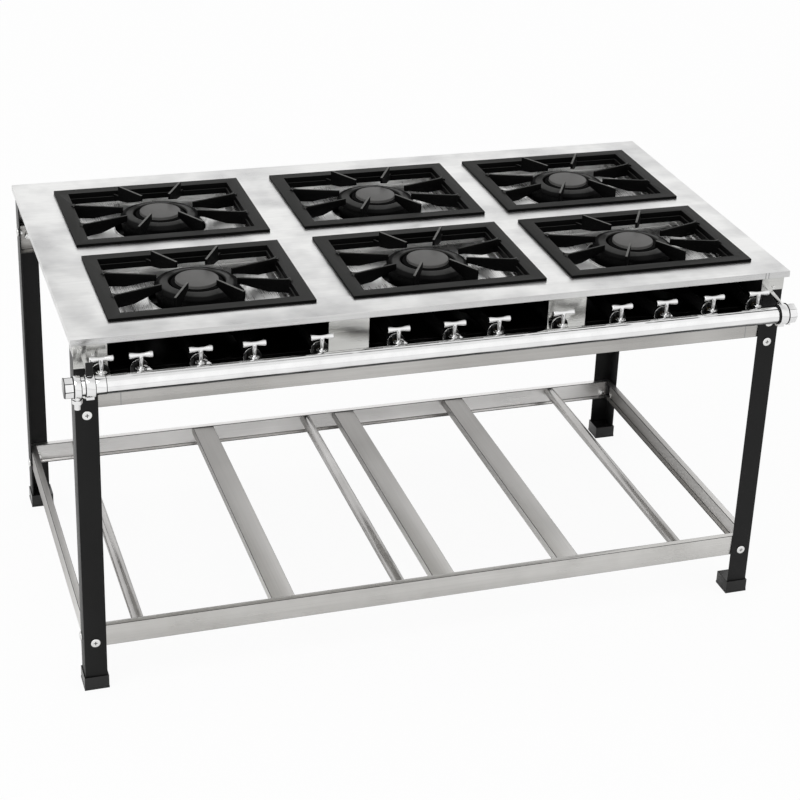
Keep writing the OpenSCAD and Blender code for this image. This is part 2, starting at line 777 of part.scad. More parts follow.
// Valve barrel with a blind bore for the plug, a front inlet and a rear outlet
barrel_low = barrel_top - barrel_h;
plug_low = barrel_low + 4;

module valve_bodies() {
    color("white") placed() for (x = valves) translate([x, valve_y, 0]) difference() {
        union() {
            translate([0, 0, barrel_low]) cylinder(h = barrel_h, r = barrel_r);
            translate([0, 0, valve_in_z]) rod_y(seat_y - valve_y, 0, 7.5);
            translate([0, 0, tube_z]) rod_y(0, barrel_r + 1, 6.5);
        }
        translate([0, 0, plug_low]) cylinder(h = barrel_h, r = plug_r + plug_fit);
        translate([0, 0, valve_in_z]) rod_y(seat_y - valve_y - 1, 0, 4);
        translate([0, 0, tube_z]) rod_y(0, barrel_r + 2, 2.5);
    }
}

module injectors() {
    y0 = valve_y + barrel_r + 1;
    color("gold") placed() for (x = valves) translate([x, 0, tube_z]) difference() {
        union() {
            rod_y(y0, shutter_y, injector_r);
            rod_y(y0, y0 + 2, 6.5, 6);
        }
        rod_y(y0 - 1, shutter_y + 1, 1);
    }
}

// Bow-tie bar on a tapered neck; the plug below turns in the barrel
module valve_handle(i) {
    bar_z = barrel_top + handle_rise;
    half = bar_l / 2;
    color("white") placed() translate([valves[i], valve_y, 0]) {
        difference() {
            translate([0, 0, plug_low + 0.3]) cylinder(h = barrel_top - plug_low, r = plug_r);
            translate([0, 0, valve_in_z + 1]) rod_x(-plug_r - 1, plug_r + 1, 2.5);
        }
        translate([0, 0, barrel_top + 0.3]) cylinder(h = 2, r = plug_r + 1.2);
        translate([0, 0, barrel_top + 2]) cylinder(h = handle_rise - 3, r1 = neck_low_r, r2 = neck_top_r);
        translate([0, 0, bar_z]) rotate([0, 90, 0]) rotate_extrude() polygon([
            [0, -half], [bar_end_r - 1, -half], [bar_end_r, -half + 1], [bar_end_r, -half + 6],
            [bar_waist_r, -neck_top_r], [bar_waist_r, neck_top_r], [bar_end_r, half - 6],
            [bar_end_r, half - 1], [bar_end_r - 1, half], [0, half]
        ]);
    }
}

// Radial fins of a grate, as upright plates cut to a profile of radius and height
module fin(profile) {
    rotate([90, 0, 0]) translate([0, 0, -fin_t / 2]) linear_extrude(fin_t) polygon(profile);
}

// A front or back fin ends short of the border and stands on a low foot in the skirt
module tall_fin() {
    root = (open_d / 2 + skirt_t / 2) / cos(fin_angle);
    end = (open_d / 2 - fin_setback) / cos(fin_angle);
    fin([
        [fin_tip_r, fin_rise], [end - 1, fin_rise], [end, fin_rise - 1], [end, -fin_foot_drop],
        [root, -fin_foot_drop], [root, -fin_root_drop], [end, -fin_root_drop + 1],
        [end - 30, -fin_root_drop + 5], [fin_tip_r, fin_rise - fin_tip_h]
    ]);
}

// Side view of a left or right fin, which ends in a horn over the border
function side_profile(root) = [
    [side_tip_r, side_fin_rise], [root - 14, side_fin_rise], [root - 6, side_fin_rise + horn_rise / 3],
    [root - 1, side_fin_rise + horn_rise], [root + horn, -1], [root + 2, -border_t],
    [root + 2, -side_root_drop], [side_tip_r + 62, -side_root_drop + 1],
    [side_tip_r + 14, side_fin_rise - side_tip_h - 2], [side_tip_r, side_fin_rise - side_tip_h]
];

// Fillets that widen a side fin where it meets the skirt, cut to the fin's height
module side_flare() {
    wall = open_w / 2 + skirt_t / 2;
    root = open_w / 2 / cos(side_fin_angle);
    turns = [0:18:90];
    edge = [for (a = turns) [wall - flare_r + flare_r * sin(a), fin_t / 2 + flare_r * (1 - cos(a))]];
    lean = tan(side_fin_angle);
    near = [for (p = edge) [p[0], p[0] * lean + p[1]]];
    far = [for (i = [len(edge) - 1:-1:0]) [edge[i][0], edge[i][0] * lean - edge[i][1]]];
    intersection() {
        translate([0, 0, 1 - side_root_drop]) linear_extrude(side_root_drop + side_fin_rise)
            polygon(concat(near, far));
        rotate([0, 0, side_fin_angle]) rotate([90, 0, 0]) translate([0, 0, -2 * flare_r])
            linear_extrude(4 * flare_r) polygon(side_profile(root));
    }
}

module side_fin() {
    rotate([0, 0, side_fin_angle]) fin(side_profile(open_w / 2 / cos(side_fin_angle)));
    side_flare();
}

module grate(c, r) {
    low = border_z - border_t - skirt_h;
    ledge_z = border_z - ledge_drop;
    color("dimgray") placed() translate([columns[c], rows[r], 0]) {
        difference() {
            union() {
                box([-grate_w / 2, -grate_d / 2, top_h], [grate_w / 2, grate_d / 2, border_z]);
                box([-open_w / 2 - skirt_t, -open_d / 2 - skirt_t, low],
                    [open_w / 2 + skirt_t, open_d / 2 + skirt_t, border_z - 1]);
            }
            box([-open_w / 2, -open_d / 2, ledge_z], [open_w / 2, open_d / 2, border_z + 1]);
            box([-open_w / 2 + ledge_w, -open_d / 2 + ledge_w, low - 1],
                [open_w / 2 - ledge_w, open_d / 2 - ledge_w, border_z + 1]);
        }
        translate([0, 0, border_z]) {
            for (side = [0, 180]) for (s = [-1, 1]) {
                rotate([0, 0, 90 + side + s * fin_angle]) tall_fin();
                rotate([0, 0, side]) mirror([0, s < 0 ? 1 : 0, 0]) side_fin();
            }
        }
    }
}

// Bolts through the legs into the rails, head outside and nut inside
module bolt(grip) {
    difference() {
        union() {
            translate([0, 0, -bolt_head_h + 1]) cylinder(h = bolt_head_h - 1, r = bolt_head_r);
            translate([0, 0, -bolt_head_h]) cylinder(h = 1, r1 = bolt_head_r - 2, r2 = bolt_head_r);
        }
        for (a = [0, 90]) rotate([0, 0, a]) translate([-4, -0.8, -bolt_head_h - 1]) cube([8, 1.6, 2.5]);
    }
    translate([0, 0, grip]) cylinder(h = 5, r = 7, $fn = 6);
}

upper_bolts = [rail_low + 34, rail_low - 12];
shelf_bolt = shelf_low + 12;
leg_grip = leg_t + sheet_t;

module leg_bolts() {
    mid = leg_x - leg_w / 2;
    color("white") placed() for (sx = [-1, 1]) {
        for (z = [upper_bolts[0], shelf_bolt]) {
            translate([sx * mid, leg_front, z]) rotate([-90, 0, 0]) bolt(leg_grip);
            translate([sx * mid, leg_rear, z]) rotate([90, 0, 0]) bolt(leg_grip);
        }
        translate([sx * mid, leg_front, upper_bolts[1]]) rotate([-90, 0, 0]) bolt(leg_t);
        for (y = [leg_front + leg_w * 0.7, leg_rear - leg_w * 0.7])
            translate([sx * leg_x, y, shelf_bolt]) rotate([0, -sx * 90, 0]) bolt(leg_grip);
        translate([sx * leg_x, leg_rear - leg_w * 0.7, rail_top - 12]) rotate([0, -sx * 90, 0]) bolt(leg_t);
    }
}

// Small cross-slot screws that hold the corner plates
module plate_screws() {
    color("white") placed() for (x = [win1_left - screw_out, win3_right + screw_out])
        translate([x, panel_front, top_h - screw_drop]) difference() {
            rod_y(-2, 0, 3.5);
            for (a = [0, 90]) rotate([0, a, 0]) translate([-2.5, -3, -0.4]) cube([5, 1.8, 0.8]);
        }
}

top_plate();
front_panel();
rear_panel();
side_walls();
front_rail();
rear_rail();
leg_front_left();
leg_front_right();
leg_rear_left();
leg_rear_right();
feet();
shelf_front_rail();
shelf_rear_rail();
shelf_side_rails();
shelf_wide_slats();
shelf_tube_slats();
drip_tray_left();
drip_tray_middle();
drip_tray_right();
spill_pans(0);  // spill_pans_left
spill_pans(1);  // spill_pans_middle
spill_pans(2);  // spill_pans_right
burner_bars();
burner_bodies();
burner_crowns();
burner_caps();
mixing_tubes();
air_shutters();
manifold_pipe();
pipe_cap();
pipe_end_fitting();
inlet_tee();
pipe_clamps();
pipe_tab();
valve_bodies();
injectors();
leg_bolts();
plate_screws();
grate(0, 0);  // grate_1
grate(1, 0);  // grate_2
grate(2, 0);  // grate_3
grate(0, 1);  // grate_4
grate(1, 1);  // grate_5
grate(2, 1);  // grate_6
valve_handle(0);  // valve_handle_1
valve_handle(1);  // valve_handle_2
valve_handle(2);  // valve_handle_3
valve_handle(3);  // valve_handle_4
valve_handle(4);  // valve_handle_5
valve_handle(5);  // valve_handle_6
valve_handle(6);  // valve_handle_7
valve_handle(7);  // valve_handle_8
valve_handle(8);  // valve_handle_9
valve_handle(9);  // valve_handle_10
valve_handle(10);  // valve_handle_11
valve_handle(11);  // valve_handle_12
valve_handle(12);  // valve_handle_13
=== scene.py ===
import bmesh
import bpy
import json
import math
from mathutils import Matrix, Vector

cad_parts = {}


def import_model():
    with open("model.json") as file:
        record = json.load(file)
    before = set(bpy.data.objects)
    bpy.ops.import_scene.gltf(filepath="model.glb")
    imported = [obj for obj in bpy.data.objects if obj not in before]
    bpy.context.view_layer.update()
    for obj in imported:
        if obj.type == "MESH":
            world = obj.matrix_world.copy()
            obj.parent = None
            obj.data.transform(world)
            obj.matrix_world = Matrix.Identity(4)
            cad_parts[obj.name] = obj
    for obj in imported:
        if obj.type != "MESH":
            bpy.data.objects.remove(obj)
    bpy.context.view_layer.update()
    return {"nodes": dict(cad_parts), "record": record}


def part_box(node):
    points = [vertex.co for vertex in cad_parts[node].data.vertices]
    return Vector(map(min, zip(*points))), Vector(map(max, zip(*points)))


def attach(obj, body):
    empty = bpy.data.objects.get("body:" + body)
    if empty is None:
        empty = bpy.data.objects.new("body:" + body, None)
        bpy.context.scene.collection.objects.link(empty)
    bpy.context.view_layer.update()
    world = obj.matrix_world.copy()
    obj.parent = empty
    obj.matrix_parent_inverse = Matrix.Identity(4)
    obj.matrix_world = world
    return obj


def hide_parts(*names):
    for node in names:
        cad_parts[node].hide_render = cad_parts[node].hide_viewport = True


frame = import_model()
nodes = frame["nodes"]
scene = bpy.context.scene
scene.view_settings.view_transform = "Standard"

# Everything is in metres. The CAD moves the whole stove by SHIFT, so that the origin lies under
# the middle of its outline.
SHIFT = Vector((0.011, 0.033, 0.0))

# Where looks change on a node
LIP_SEAMS = (0.710, 0.717)        # weld lines at the right end of the worktop's front edge
RAIL_SEAMS = (-0.650, 0.686)      # weld lines near the ends of the long rails
CAP_BANDS = (-0.7668, -0.7490)    # dark rings round the pipe's cap
WORKTOP_TOP = 0.80
RAIL_TOP_ABOVE = 0.70             # of a long rail's upward faces, only the top lies above this
GRATE_BARE_ABOVE = 0.8072         # the tops of the grates are ground bare from here up
LID_SOOTY_BELOW = 0.7962          # the burners' lids are sooty up to here
CAP_SOOTY_BELOW = 0.7995          # and their caps up to here
BOLT_CUT = (-0.3747, -0.3715)     # the bottom of the cross cut in a front bolt's head, painted black as shade, is in here

# A face looks some way when this much of its direction lies that way, and straight that way when
# that much does.
LOOKS = 0.5
LOOKS_STRAIGHT = 0.9

# Patterns of the materials
NOISE = (0.3, 0.7)                # nearly all values of a noise lie in this span
SCRATCHES = (2.5, 420)            # waves per metre of brushed scratches, along and across them
STREAKS = (0.8, 26)               # and of the broad streaks
SEAM_HALF = 0.0012                # half the width of a weld line
BAND_HALF = 0.0016                # half the width of a dark ring
PAINTED_REFLECTION_LINES = (                 # painted reflections along the pipe's top: angle from the pipe's top, half the width, and depth of tone
    (-0.52, 0.075, 0.9),
    (-0.12, 0.060, 0.5),
    (0.26, 0.120, 1.0),
)

# Black washers on the gas pipe, and black rings as painted shade in its thread gaps
PIPE_CENTRE = Vector((0, -0.463, 0.7235)) + SHIFT
RING_INNER = 0.0184
RING_SIDES = 64
RINGS = (                         # place along the pipe, half the width, and outer radius
    (-0.7595, 0.0009, 0.0216),
    (-0.7463, 0.0009, 0.0204),
    (-0.7382, 0.0008, 0.0206),
    (-0.7200, 0.0008, 0.0206),
    (-0.6992, 0.0008, 0.0191),
    (0.7100, 0.0014, 0.0206),
    (0.7298, 0.0013, 0.0228),
)

# Bright tabs on air shutters
TAB_VALVES = (2, 3, 6, 7, 11)     # the valves whose shutters stand half open
TAB_OUTLINE = (                   # place to the right of the valve's middle, and height
    (0.007, 0.7130),
    (0.035, 0.7130),
    (0.030, 0.7165),
    (0.012, 0.7335),
    (0.007, 0.7340),
)
TAB_BACKING = SHIFT.y - 0.4166    # a plane just in front of the shutters' faces
TAB_PROUD = 0.0030                # how far a tab's front stands off it at the valve's side
TAB_LEAN = 0.10                   # how much nearer it comes per metre to the right
TAB_THICK = 0.0012

# Meshes
MERGE = 2e-6                      # corners closer than this become one
FLAT = math.radians(0.6)          # faces that meet at less than this become one
SHARP = math.radians(28)          # edges that turn by more than this are rounded

# Floor and studio
FLOOR_HALF = 30.0
FLOOR_CAMERA_WHITE = 0.93         # share of plain white that the camera sees on the floor
FLOOR_GLOSSY_WHITE = 0.1          # share of it that shiny faces see
OVERHEAD_LIGHT = 0.75             # strength of the light from overhead, where 1 is the front's
REAR_LIGHT = 0.95                 # and of the light from low down at the rear


def grey(value):
    return (value, value, value)


def rgba(colour):
    return (*colour, 1.0)


def drawn_out(axis, along, across):
    """The scale of a pattern that is drawn out along one axis."""
    return tuple(along if a == axis else across for a in "xyz")


def feed(tree, value, socket):
    """Links a node's output to a socket, or sets the socket to a plain value."""
    if isinstance(value, bpy.types.NodeSocket):
        tree.links.new(value, socket)
    else:
        socket.default_value = value


def map_range(tree, value, low, high, to_low, to_high, kind="LINEAR"):
    n = tree.nodes.new("ShaderNodeMapRange")
    n.interpolation_type = kind
    for i, v in enumerate((value, low, high, to_low, to_high)):
        feed(tree, v, n.inputs[i])
    return n.outputs[0]


def separate(tree, vector, axis):
    n = tree.nodes.new("ShaderNodeSeparateXYZ")
    tree.links.new(vector, n.inputs[0])
    return n.outputs[axis]


def plain_white(tree, kind):
    """A shader of plain white light."""
    n = tree.nodes.new(kind)
    n.inputs["Color"].default_value = (1, 1, 1, 1)
    n.inputs["Strength"].default_value = 1.0
    return n.outputs[0]


def mix_shaders(tree, share, first, second, surface):
    n = tree.nodes.new("ShaderNodeMixShader")
    for i, socket in enumerate((share, first, second)):
        tree.links.new(socket, n.inputs[i])
    tree.links.new(n.outputs[0], surface)


class Mat:
    """A node material. Each helper adds a node or a few and returns the last one's output."""

    def __init__(self, name):
        self.mat = bpy.data.materials.new(name)
        self.mat.use_nodes = True
        self.tree = self.mat.node_tree
        self.shader = self.tree.nodes["Principled BSDF"]
        self.coord = self.tree.nodes.new("ShaderNodeTexCoord").outputs["Object"]

    def set(self, **values):
        for key, value in values.items():
            feed(self.tree, value, self.shader.inputs[key.replace("_", " ")])
        return self

    def noise(self, scale, detail=3.0, rough=0.5, stretch=(1, 1, 1)):
        mapping = self.tree.nodes.new("ShaderNodeMapping")
        mapping.inputs["Scale"].default_value = stretch
        self.tree.links.new(self.coord, mapping.inputs["Vector"])
        n = self.tree.nodes.new("ShaderNodeTexNoise")
        n.inputs["Scale"].default_value = scale
        n.inputs["Detail"].default_value = detail
        n.inputs["Roughness"].default_value = rough
        self.tree.links.new(mapping.outputs[0], n.inputs["Vector"])
        return n.outputs["Fac"]

    def map(self, value, low, high, to_low, to_high):
        return map_range(self.tree, value, low, high, to_low, to_high)

    def spread(self, noise, to_low, to_high):
        """A noise stretched over a new span."""
        return self.map(noise, *NOISE, to_low, to_high)

    def math(self, op, a, b=0.0):
        n = self.tree.nodes.new("ShaderNodeMath")
        n.operation = op
        feed(self.tree, a, n.inputs[0])
        feed(self.tree, b, n.inputs[1])
        return n.outputs[0]

    def add(self, a, b):
        return self.math("ADD", a, b)

    def times(self, a, b):
        return self.math("MULTIPLY", a, b)

    def mix(self, share, a, b):
        """Colour a, with this share of it replaced by colour b."""
        n = self.tree.nodes.new("ShaderNodeMix")
        n.data_type = "RGBA"
        feed(self.tree, share, n.inputs[0])
        feed(self.tree, rgba(a) if isinstance(a, tuple) else a, n.inputs[6])
        feed(self.tree, rgba(b) if isinstance(b, tuple) else b, n.inputs[7])
        return n.outputs[2]

    def place(self, axis):
        """One coordinate of the point."""
        return separate(self.tree, self.coord, axis)

    def direction(self, axis):
        """One coordinate of the face's own direction, whatever the bump does."""
        geometry = self.tree.nodes.new("ShaderNodeNewGeometry")
        return separate(self.tree, geometry.outputs["True Normal"], axis)

    def facing_up(self):
        """One on faces that look up."""
        return self.map(self.direction("Z"), 0.55, 0.85, 0, 1)

    def facing_front(self):
        """One on faces that look straight to the front."""
        return self.map(self.direction("Y"), -LOOKS_STRAIGHT, -LOOKS, 1, 0)

    def gap(self, value, place):
        """How far a value is from a place."""
        return self.math("ABSOLUTE", self.math("SUBTRACT", value, place))

    def near(self, axis, places, half):
        """One where a coordinate is within half of one of the places, with a soft edge."""
        total = 0.0
        for p in places:
            total = self.add(self.map(self.gap(self.place(axis), p), half * 0.6, half, 1, 0), total)
        return total

    def bump(self, height, distance, strength):
        n = self.tree.nodes.new("ShaderNodeBump")
        n.inputs["Distance"].default_value = distance
        n.inputs["Strength"].default_value = strength
        feed(self.tree, height, n.inputs["Height"])
        return n.outputs[0]


def brushed(name, dark, light, axis, rough, smudge, grain=1.0, seams=None, streak=0.4,
            painted_rear_shade=None, clouds=(0.35, 0.65)):
    """Rolled and brushed stainless steel: long fine scratches along one axis and soft smudges.

    rough is the mean roughness, smudge the smudges per metre, and grain how deep the scratches
    are. seams gives places along X where a weld line crosses the front face. streak is how much
    of the change of tone runs along the grain, painted_rear_shade is the colour of painted shade
    that deepens to the rear, and clouds is the span of tones that goes from dark to light.
    """
    m = Mat(name)
    scratch = m.noise(1.0, 4, 0.6, drawn_out(axis, *SCRATCHES))
    band = m.noise(1.0, 2, 0.5, drawn_out(axis, *STREAKS))
    cloud = m.noise(smudge, 3, 0.55)
    tone = m.add(m.times(cloud, 1.0 - streak), m.times(band, streak))
    colour = m.mix(m.map(tone, *clouds, 0, 1), dark, light)
    colour = m.mix(m.spread(scratch, 0, 0.22), colour, tuple(0.8 * c for c in dark))
    # Painted shade: the steel darkens towards the rear.
    if painted_rear_shade:
        colour = m.mix(m.map(m.place("Y"), -0.45, 0.25, 0.0, 0.9), colour, painted_rear_shade)
    if seams:
        line = m.times(m.near("X", seams, SEAM_HALF), m.facing_front())
        colour = m.mix(line, colour, grey(0.32))
    roughness = m.add(m.spread(scratch, rough - 0.05, rough + 0.05), m.spread(cloud, -0.05, 0.05))
    height = m.add(scratch, m.times(band, 0.35))
    return m.set(Base_Color=colour, Metallic=1.0, Roughness=roughness,
                 Normal=m.bump(height, 0.00006 * grain, 0.5)).mat


def cast(name, dark, light, rough, spec, grain=0.00025, coarse=700, painted_top_light=None, worn=None,
         sooty=None):
    """Painted or oiled cast iron: a fine sandy skin with slow changes of tone.

    dusty is the colour of upward faces, painted lighter where the light from above falls on them.
    worn gives the height above which these are ground bare, and their colour. sooty is the height
    below which the iron is sooty. coarse is the sand's grains per metre, and grain how deep they
    are.
    """
    m = Mat(name)
    sand = m.noise(coarse, 5, 0.65)
    lump = m.noise(60, 3, 0.5)
    cloud = m.noise(9, 3, 0.5)
    colour = m.mix(m.map(m.add(cloud, m.times(lump, 0.5)), 0.5, 1.0, 0, 1), dark, light)
    roughness = m.map(m.add(sand, cloud), 0.7, 1.3, rough - 0.1, rough + 0.1)
    # Painted light: upward faces are lighter, as they catch the light from above.
    if painted_top_light:
        share = m.times(m.facing_up(), m.map(cloud, 0.2, 0.8, 0.75, 1))
        colour = m.mix(share, colour, painted_top_light)
    if worn:
        level, bare = worn
        high = m.times(m.facing_up(), m.map(m.place("Z"), level, level + 0.010, 0, 1))
        patchy = m.map(m.noise(140, 3, 0.6), 0.3, 0.6, 0.55, 1)
        colour = m.mix(m.times(high, patchy), colour, bare)
    if sooty:
        ragged = m.add(m.place("Z"), m.spread(cloud, -0.0008, 0.0008))
        covered = m.map(ragged, sooty - 0.0006, sooty + 0.0006, 1, 0)
        colour = m.mix(covered, colour, grey(0.001))
        roughness = m.add(roughness, m.times(covered, 0.4))
    height = m.add(sand, m.times(lump, 1.5))
    return m.set(Base_Color=colour, Roughness=roughness, Specular_IOR_Level=spec,
                 Normal=m.bump(height, grain, 0.6)).mat


def paint(name, dark, light, rough, spec, peel=0.00012):
    """Powder coat or moulded plastic: orange peel, which is peel deep, and faint clouding."""
    m = Mat(name)
    skin = m.noise(420, 2, 0.5)
    cloud = m.noise(5, 3, 0.5)
    roughness = m.map(m.add(skin, cloud), 0.7, 1.3, rough - 0.06, rough + 0.08)
    return m.set(Base_Color=m.mix(m.spread(cloud, 0, 1), dark, light), Roughness=roughness,
                 Specular_IOR_Level=spec, Normal=m.bump(skin, peel, 0.5)).mat


def chrome(name, tint, rough, wave=0.00008, painted_dark_below=None, lines=False, bands=None):
    """Polished plate with faint polishing waves, which are wave deep, and a few duller patches.

    painted_dark_below is how far down a face looks, from 0 to -1, where a painted dark reflection
    takes over from the polish. lines paints broken dark lines along the top of a pipe that lies
    along X, as painted reflections. bands gives places along X where a dark ring runs round the
    piece.
    """
    m = Mat(name)
    ripple = m.noise(90, 2, 0.5)
    cloud = m.noise(25, 3, 0.5)
    colour = m.mix(m.spread(cloud, 0, 1), tint, tuple(0.9 * c for c in tint))
    # Painted dark reflection on the faces that look down.
    if painted_dark_below:
        edge = m.spread(m.noise(1.0, 3, 0.6, (6, 60, 60)), -0.07, 0.07)
        painted_dark_reflection = m.map(m.add(m.direction("Z"), edge), painted_dark_below, painted_dark_below + 0.10, 1, 0)
        colour = m.mix(painted_dark_reflection, colour, grey(0.01))
    # Painted reflections: broken dark lines along the pipe's top.
    if lines:
        angle = m.math("ARCTAN2", m.direction("Y"), m.direction("Z"))
        broken = m.map(m.noise(1.0, 2, 0.5, (14, 3, 3)), 0.34, 0.42, 0, 1)
        for place, half, depth in PAINTED_REFLECTION_LINES:
            line = m.times(m.map(m.gap(angle, place), half * 0.5, half, depth, 0), broken)
            colour = m.mix(line, colour, grey(0.03))
    if bands:
        colour = m.mix(m.near("X", bands, BAND_HALF), colour, grey(0.02))
    roughness = m.map(cloud, 0.3, 0.75, rough, rough + 0.06)
    return m.set(Base_Color=colour, Metallic=1.0, Roughness=roughness,
                 Normal=m.bump(ripple, wave, 0.4)).mat


# Steel sheet: darkest and lightest tone, direction of the grain, roughness, smudges per metre
worktop_steel = brushed("worktop_steel", grey(0.66), (0.95, 0.95, 0.94), "x", 0.34, 8.0,
                        streak=0.15, clouds=(0.34, 0.60))
lip_steel = brushed("lip_steel", grey(0.62), (0.86, 0.86, 0.85), "x", 0.30, 6.0,
                    seams=LIP_SEAMS, streak=0.3)
rail_steel = brushed("rail_steel", (0.38, 0.37, 0.355), (0.64, 0.63, 0.61), "x", 0.30, 3.0,
                     seams=RAIL_SEAMS)
frame_steel_x = brushed("frame_steel_x", (0.54, 0.53, 0.51), (0.74, 0.73, 0.71), "x", 0.32, 6.0)
# The side rails and wide slats take painted shade that deepens to the rear.
frame_steel_y = brushed("frame_steel_y", (0.84, 0.83, 0.81), (0.98, 0.97, 0.95), "y", 0.46, 6.0,
                        painted_rear_shade=(0.34, 0.33, 0.32))
shelf_rear_steel = brushed("shelf_rear_steel", (0.78, 0.77, 0.76), (0.95, 0.94, 0.93), "x",
                           0.32, 6.0)
tube_steel = brushed("tube_steel", (0.42, 0.41, 0.40), (0.62, 0.61, 0.60), "y", 0.24, 8.0)
# Near-black steel that paints shade on the rounded edges and folds of rails and slats.
painted_edge_shade = brushed("painted_edge_shade", grey(0.03), (0.09, 0.09, 0.085), "y", 0.35, 9.0)
plate_steel = brushed("plate_steel", (0.56, 0.56, 0.54), (0.74, 0.74, 0.72), "x", 0.24, 9.0)
pan_steel = brushed("pan_steel", (0.84, 0.84, 0.83), (0.95, 0.95, 0.94), "y", 0.30, 14.0,
                    grain=0.03, streak=0.1)
# Near-black steel: the drip trays' upper faces, and painted shade on the long rails' tops under the
# worktop.
dark_steel_and_rail_shade = brushed("dark_steel_and_rail_shade", grey(0.010), grey(0.040), "y", 0.35, 12.0)

# Paint, plastic and cast iron: darkest and lightest tone, roughness, specular level
firebox = paint("firebox_dark", grey(0.004), grey(0.009), 0.4, 0.2)
leg_black = paint("leg_black", grey(0.004), grey(0.007), 0.38, 0.2)
foot_plastic = paint("foot_plastic", grey(0.003), grey(0.005), 0.2, 0.5, 0.0002)
# The grates' upward faces take painted light.
grate_iron = cast("grate_iron", grey(0.001), grey(0.002), 0.6, 0.05,
                  painted_top_light=(0.036, 0.036, 0.035), worn=(GRATE_BARE_ABOVE, (0.15, 0.15, 0.145)))
burner_iron = cast("burner_iron", grey(0.001), grey(0.003), 0.55, 0.08)
lid_iron = cast("lid_iron", (0.020, 0.020, 0.019), (0.034, 0.034, 0.033), 0.40, 0.12,
                grain=0.00015, coarse=1100, sooty=LID_SOOTY_BELOW)
cap_grey = cast("cap_grey", (0.070, 0.069, 0.067), (0.094, 0.092, 0.089), 0.5, 0.35,
                grain=0.00012, coarse=1300)
# Sooty black for the caps' sides, and painted shade at the bottom of the bolts' cross cuts.
soot_and_recess_shade = cast("soot_and_recess_shade", grey(0.002), grey(0.003), 0.8, 0.04)
# Black paint for the air shutters and the pipe's tab; on the valve bodies' sides, a painted dark
# reflection of chrome.
shutter_black = paint("shutter_black", grey(0.002), grey(0.004), 0.2, 0.3)
# Black for the washers; also painted shade in the pipe's thread gaps and on the chrome fittings'
# rounded edges.
rubber_and_painted_shade = paint("rubber_and_painted_shade", grey(0.002), grey(0.004), 0.5, 0.2, 0.0002)

# Plated metal and brass: tint, roughness
chrome_plate = chrome("chrome", grey(0.92), 0.06)
# The pipe and its cap take a painted dark reflection on their downward faces, and the pipe painted
# reflection lines along its top.
pipe_chrome = chrome("pipe_chrome", grey(0.97), 0.05, painted_dark_below=-0.46, lines=True)
cap_chrome = chrome("cap_chrome", grey(0.95), 0.06, painted_dark_below=-0.9, bands=CAP_BANDS)
zinc = chrome("zinc", (0.88, 0.88, 0.87), 0.14, 0.0001)
brass = chrome("brass", (0.72, 0.52, 0.24), 0.2)


def link(obj):
    scene.collection.objects.link(obj)
    return obj


def round_edges(obj, width, segments=2):
    bevel = obj.modifiers.new("Round edges", "BEVEL")
    bevel.width = width
    bevel.segments = segments
    bevel.limit_method = "ANGLE"
    bevel.angle_limit = SHARP
    bevel.harden_normals = True
    return bevel


def body_of(node):
    for body, members in frame["record"]["behaviour"]["bodies"].items():
        if node in members:
            return body


def dress(node, material, width=0.0006, segments=2, other=None, where=None, edge=None):
    """The CAD form with its flat faces joined up and its edges rounded.

    where(centre, normal) picks the faces that take the other material, and edge is the material
    of the rounded edges, if they have their own.
    """
    bm = bmesh.new()
    bm.from_mesh(nodes[node].data)
    bmesh.ops.remove_doubles(bm, verts=bm.verts, dist=MERGE)
    bmesh.ops.dissolve_limit(bm, angle_limit=FLAT, verts=bm.verts, edges=bm.edges)
    bm.normal_update()
    for f in bm.faces:
        f.smooth = True
        f.material_index = 1 if where and where(f.calc_center_median(), f.normal) else 0
    mesh = bpy.data.meshes.new(node + "_form")
    bm.to_mesh(mesh)
    bm.free()
    mesh.materials.append(material)
    if other:
        mesh.materials.append(other)
    obj = link(bpy.data.objects.new(node + "_form", mesh))
    bevel = round_edges(obj, width, segments)
    if edge:
        mesh.materials.append(edge)
        bevel.material = len(mesh.materials) - 1
    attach(obj, body_of(node))
    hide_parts(node)


# Which faces of a node take its other material

def upper_faces(centre, normal):
    return normal.z > LOOKS


def lower_faces(centre, normal):
    return normal.z < -LOOKS


def front_lip(centre, normal):
    return normal.y < -LOOKS_STRAIGHT and centre.z < WORKTOP_TOP


# The top of a long rail, which is painted dark as the shade under the worktop.
def rail_top(centre, normal):
    return normal.z > LOOKS and centre.z > RAIL_TOP_ABOVE


def cap_sides(centre, normal):
    return centre.z < CAP_SOOTY_BELOW


def disc_rims(centre, normal):
    return abs(normal.y) < LOOKS


# The bottom of a front bolt's cross cut, painted black as the shade in the recess.
def bolt_cut_shade(centre, normal):
    return BOLT_CUT[0] < centre.y < BOLT_CUT[1] and normal.y < -LOOKS_STRAIGHT


# Node, material, and the width of the rounded edges where it isn't 0.6 mm
dress("top_plate", worktop_steel, 0.0012, 3, other=lip_steel, where=front_lip)
dress("front_panel", plate_steel, 0.0005)
# The long rails' tops are painted dark as the shade under the worktop.
for n in ("front_rail", "rear_rail"):
    dress(n, rail_steel, 0.0009, other=dark_steel_and_rail_shade, where=rail_top,
          edge=painted_edge_shade)
dress("rear_panel", frame_steel_x, 0.0009)
